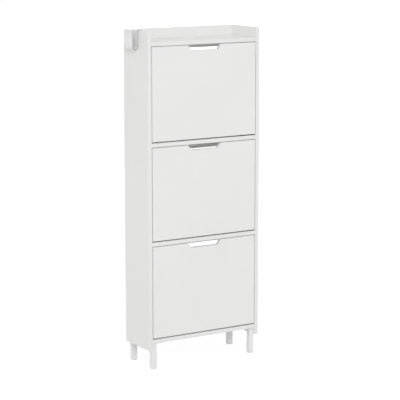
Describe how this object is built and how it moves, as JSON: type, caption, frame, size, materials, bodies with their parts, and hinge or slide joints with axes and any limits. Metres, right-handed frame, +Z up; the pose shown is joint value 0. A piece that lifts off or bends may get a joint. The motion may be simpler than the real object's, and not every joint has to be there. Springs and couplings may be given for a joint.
{
  "type": "shoe cabinet",
  "caption": "Tall slim white shoe cabinet with tip-out flaps, finger cut-outs, a rimmed tray top, square legs, an open back and a strip hook on one side.",
  "frame": {"origin": "on the floor, under the middle of the carcass (without the hook)", "axes": "+X to the right of someone facing the flaps, +Y to the back, +Z up"},
  "size_m": [0.5023, 0.18, 1.2523],
  "materials": {
    "white_board": "white melamine faced board, satin",
    "white_metal": "white powder coat, satin",
    "white_plastic": "moulded, fine matt grain",
    "zinc_steel": "zinc plated",
    "beech": "bare"
  },
  "bodies": {
    "cabinet": {"bottom_panel": "white_board", "cam_bolts": "zinc_steel", "cam_locks": "zinc_steel", "divider_lower": "white_board", "divider_middle": "white_board", "dowels": "beech", "leg_front_left": "white_metal", "leg_front_right": "white_metal", "leg_plugs": "white_plastic", "leg_rear_left": "white_metal", "leg_rear_right": "white_metal", "leg_screws": "zinc_steel", "pivot_plate_lower_left": "white_plastic", "pivot_plate_lower_right": "white_plastic", "pivot_plate_middle_left": "white_plastic", "pivot_plate_middle_right": "white_plastic", "pivot_plate_screws": "zinc_steel", "pivot_plate_upper_left": "white_plastic", "pivot_plate_upper_right": "white_plastic", "rear_rail_lower": "white_board", "rear_rail_middle": "white_board", "side_panel_left": "white_board", "side_panel_right": "white_board", "top_back_rail": "white_board", "top_panel": "white_board"},
    "flap_lower": {"flap_lower_back": "white_board", "flap_lower_floor": "white_board", "flap_lower_frame_left": "white_plastic", "flap_lower_frame_right": "white_plastic", "flap_lower_front": "white_board", "flap_lower_screws": "zinc_steel"},
    "flap_middle": {"flap_middle_back": "white_board", "flap_middle_floor": "white_board", "flap_middle_frame_left": "white_plastic", "flap_middle_frame_right": "white_plastic", "flap_middle_front": "white_board", "flap_middle_screws": "zinc_steel"},
    "flap_upper": {"flap_upper_back": "white_board", "flap_upper_floor": "white_board", "flap_upper_frame_left": "white_plastic", "flap_upper_frame_right": "white_plastic", "flap_upper_front": "white_board", "flap_upper_screws": "zinc_steel"},
    "hook": {"side_hook": "white_metal"}
  },
  "joints": [
    {"name": "flap_lower_hinge", "type": "hinge", "parent": "cabinet", "child": "flap_lower", "pos_m": [0, -0.066, 0.194], "axis": [1, 0, 0], "range_deg": [0, 50]},
    {"name": "flap_middle_hinge", "type": "hinge", "parent": "cabinet", "child": "flap_middle", "pos_m": [0, -0.066, 0.56], "axis": [1, 0, 0], "range_deg": [0, 50]},
    {"name": "flap_upper_hinge", "type": "hinge", "parent": "cabinet", "child": "flap_upper", "pos_m": [0, -0.066, 0.926], "axis": [1, 0, 0], "range_deg": [0, 50]},
    {"name": "hook_slide", "type": "slide", "parent": "cabinet", "child": "hook", "axis": [0, 1, 0], "range_m": [-0.07, 0.03]}
  ]
}
